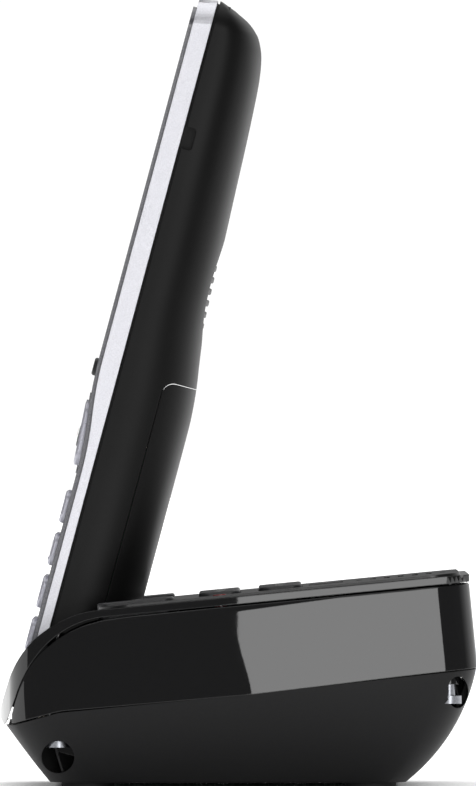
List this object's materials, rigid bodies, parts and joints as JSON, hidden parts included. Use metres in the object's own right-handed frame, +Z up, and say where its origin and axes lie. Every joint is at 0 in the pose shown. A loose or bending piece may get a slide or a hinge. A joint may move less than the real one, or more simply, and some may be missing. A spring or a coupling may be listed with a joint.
{
  "type": "cordless phone with base",
  "caption": "Silver and black cordless handset standing in the cradle of a sloping black base with message keys, loudspeaker and rear sockets.",
  "frame": {"origin": "middle of the footprint at the underside of the rubber feet (x and y at the middle of the whole object's box)", "axes": "+Z up; the keypad side and the front of the base face -Y; the width runs along X and the object is symmetric about X = 0 in its outer form"},
  "size_m": [0.096, 0.1087, 0.1791],
  "materials": {
    "base_gloss_black": "polished black ABS",
    "deck_satin_black": "satin black ABS",
    "hull_matt_black": "fine-textured black ABS",
    "shell_black": "satin dark grey ABS",
    "silver_paint": "silver lacquer on ABS",
    "facia_dark": "brushed dark grey facia",
    "window_acrylic": "clear acrylic",
    "display_module": "display panel",
    "key_silver": "silver coated keys",
    "key_dark": "dark grey keys",
    "rubber": "rubber",
    "mat_rubber": "silicone rubber",
    "screw_steel": "zinc plated",
    "contact_metal": "nickel plated",
    "circuit_board": "solder mask",
    "speaker_frame": "black lacquered frame",
    "jack_plastic": "black nylon",
    "antenna_brass": "bare strip",
    "ballast_iron": "cast",
    "lamp_lens": "clear red lens",
    "cell_jacket": "shrink sleeve"
  },
  "bodies": {
    "base": {"top_cover": "base_gloss_black", "side_housing": "base_gloss_black", "deck_panel": "deck_satin_black", "bottom_shell": "hull_matt_black", "base_feet": "rubber", "base_screws": "screw_steel", "key_board": "circuit_board", "base_speaker": "speaker_frame", "charge_springs": "contact_metal", "charge_lamp": "lamp_lens", "power_jack": "jack_plastic", "line_socket": "jack_plastic", "antenna": "antenna_brass", "ballast": "ballast_iron", "message_window": "window_acrylic", "message_display": "display_module"},
    "handset": {"front_frame": "silver_paint", "facia": "facia_dark", "display_window": "window_acrylic", "display_module": "display_module", "rear_shell": "shell_black", "rear_speaker_grille": "shell_black", "rear_speaker": "speaker_frame", "earpiece": "speaker_frame", "handset_microphone": "contact_metal", "keypad_mat": "mat_rubber", "handset_circuit_board": "circuit_board", "battery_cells": "cell_jacket", "battery_contacts": "contact_metal", "charge_contacts": "contact_metal", "handset_screws": "screw_steel"},
    "battery_door": {"battery_door": "shell_black"},
    "key_1": {"key_1": "key_silver"},
    "key_2": {"key_2": "key_silver"},
    "key_3": {"key_3": "key_silver"},
    "key_4": {"key_4": "key_silver"},
    "key_5": {"key_5": "key_silver"},
    "key_6": {"key_6": "key_silver"},
    "key_7": {"key_7": "key_silver"},
    "key_8": {"key_8": "key_silver"},
    "key_9": {"key_9": "key_silver"},
    "key_star": {"key_star": "key_silver"},
    "key_0": {"key_0": "key_silver"},
    "key_hash": {"key_hash": "key_silver"},
    "soft_key_left": {"soft_key_left": "key_dark"},
    "soft_key_right": {"soft_key_right": "key_dark"},
    "talk_key": {"talk_key": "key_silver"},
    "end_key": {"end_key": "key_silver"},
    "select_key": {"select_key": "key_dark"},
    "nav_pivot": {"nav_pivot": "mat_rubber"},
    "nav_ring": {"nav_ring": "key_silver"},
    "skip_back_key": {"skip_back_key": "key_dark"},
    "play_key": {"play_key": "key_dark"},
    "skip_forward_key": {"skip_forward_key": "key_dark"},
    "erase_key": {"erase_key": "key_dark"},
    "answer_key": {"answer_key": "key_dark"},
    "locate_key": {"locate_key": "key_dark"},
    "volume_down_key": {"volume_down_key": "key_dark"},
    "volume_up_key": {"volume_up_key": "key_dark"}
  },
  "joints": [
    {"name": "handset_lift", "type": "slide", "parent": "base", "child": "handset", "axis": [0, 0.2593, 0.9658], "range_m": [0, 0.06]},
    {"name": "battery_door_slide", "type": "slide", "parent": "handset", "child": "battery_door", "axis": [0, -0.2593, -0.9658], "range_m": [0, 0.006]},
    {"name": "key_1_press", "type": "slide", "parent": "handset", "child": "key_1", "axis": [0, 0.9658, -0.2593], "range_m": [0, 0.0005], "stiffness_N_per_m": 400},
    {"name": "key_2_press", "type": "slide", "parent": "handset", "child": "key_2", "axis": [0, 0.9658, -0.2593], "range_m": [0, 0.0005], "stiffness_N_per_m": 400},
    {"name": "key_3_press", "type": "slide", "parent": "handset", "child": "key_3", "axis": [0, 0.9658, -0.2593], "range_m": [0, 0.0005], "stiffness_N_per_m": 400},
    {"name": "key_4_press", "type": "slide", "parent": "handset", "child": "key_4", "axis": [0, 0.9658, -0.2593], "range_m": [0, 0.0005], "stiffness_N_per_m": 400},
    {"name": "key_5_press", "type": "slide", "parent": "handset", "child": "key_5", "axis": [0, 0.9658, -0.2593], "range_m": [0, 0.0005], "stiffness_N_per_m": 400},
    {"name": "key_6_press", "type": "slide", "parent": "handset", "child": "key_6", "axis": [0, 0.9658, -0.2593], "range_m": [0, 0.0005], "stiffness_N_per_m": 400},
    {"name": "key_7_press", "type": "slide", "parent": "handset", "child": "key_7", "axis": [0, 0.9658, -0.2593], "range_m": [0, 0.0005], "stiffness_N_per_m": 400},
    {"name": "key_8_press", "type": "slide", "parent": "handset", "child": "key_8", "axis": [0, 0.9658, -0.2593], "range_m": [0, 0.0005], "stiffness_N_per_m": 400},
    {"name": "key_9_press", "type": "slide", "parent": "handset", "child": "key_9", "axis": [0, 0.9658, -0.2593], "range_m": [0, 0.0005], "stiffness_N_per_m": 400},
    {"name": "key_star_press", "type": "slide", "parent": "handset", "child": "key_star", "axis": [0, 0.9658, -0.2593], "range_m": [0, 0.0005], "stiffness_N_per_m": 400},
    {"name": "key_0_press", "type": "slide", "parent": "handset", "child": "key_0", "axis": [0, 0.9658, -0.2593], "range_m": [0, 0.0005], "stiffness_N_per_m": 400},
    {"name": "key_hash_press", "type": "slide", "parent": "handset", "child": "key_hash", "axis": [0, 0.9658, -0.2593], "range_m": [0, 0.0005], "stiffness_N_per_m": 400},
    {"name": "soft_key_left_press", "type": "slide", "parent": "handset", "child": "soft_key_left", "axis": [0, 0.9658, -0.2593], "range_m": [0, 0.0005], "stiffness_N_per_m": 400},
    {"name": "soft_key_right_press", "type": "slide", "parent": "handset", "child": "soft_key_right", "axis": [0, 0.9658, -0.2593], "range_m": [0, 0.0005], "stiffness_N_per_m": 400},
    {"name": "talk_key_press", "type": "slide", "parent": "handset", "child": "talk_key", "axis": [0, 0.9658, -0.2593], "range_m": [0, 0.0005], "stiffness_N_per_m": 400},
    {"name": "end_key_press", "type": "slide", "parent": "handset", "child": "end_key", "axis": [0, 0.9658, -0.2593], "range_m": [0, 0.0005], "stiffness_N_per_m": 400},
    {"name": "select_key_press", "type": "slide", "parent": "handset", "child": "select_key", "axis": [0, 0.9658, -0.2593], "range_m": [0, 0.0005], "stiffness_N_per_m": 400},
    {"name": "nav_tilt_up_down", "type": "hinge", "parent": "handset", "child": "nav_pivot", "pos_m": [0, -0.03453, 0.08022], "axis": [1, 0, 0], "range_deg": [-2.5, 2.5], "stiffness_Nm_per_rad": 0.03},
    {"name": "nav_tilt_left_right", "type": "hinge", "parent": "nav_pivot", "child": "nav_ring", "pos_m": [0, -0.03453, 0.08022], "axis": [0, 0.2593, 0.9658], "range_deg": [-2.5, 2.5], "stiffness_Nm_per_rad": 0.03},
    {"name": "skip_back_key_press", "type": "slide", "parent": "base", "child": "skip_back_key", "axis": [0, 0.0962, -0.9954], "range_m": [0, 0.0006], "stiffness_N_per_m": 400},
    {"name": "play_key_press", "type": "slide", "parent": "base", "child": "play_key", "axis": [0, 0.0962, -0.9954], "range_m": [0, 0.0006], "stiffness_N_per_m": 400},
    {"name": "skip_forward_key_press", "type": "slide", "parent": "base", "child": "skip_forward_key", "axis": [0, 0.0962, -0.9954], "range_m": [0, 0.0006], "stiffness_N_per_m": 400},
    {"name": "erase_key_press", "type": "slide", "parent": "base", "child": "erase_key", "axis": [0, 0.0962, -0.9954], "range_m": [0, 0.0006], "stiffness_N_per_m": 400},
    {"name": "answer_key_press", "type": "slide", "parent": "base", "child": "answer_key", "axis": [0, 0.0962, -0.9954], "range_m": [0, 0.0006], "stiffness_N_per_m": 400},
    {"name": "locate_key_press", "type": "slide", "parent": "base", "child": "locate_key", "axis": [0, 0.0962, -0.9954], "range_m": [0, 0.0006], "stiffness_N_per_m": 400},
    {"name": "volume_down_key_press", "type": "slide", "parent": "base", "child": "volume_down_key", "axis": [0, 0.0962, -0.9954], "range_m": [0, 0.0006], "stiffness_N_per_m": 400},
    {"name": "volume_up_key_press", "type": "slide", "parent": "base", "child": "volume_up_key", "axis": [0, 0.0962, -0.9954], "range_m": [0, 0.0006], "stiffness_N_per_m": 400}
  ]
}
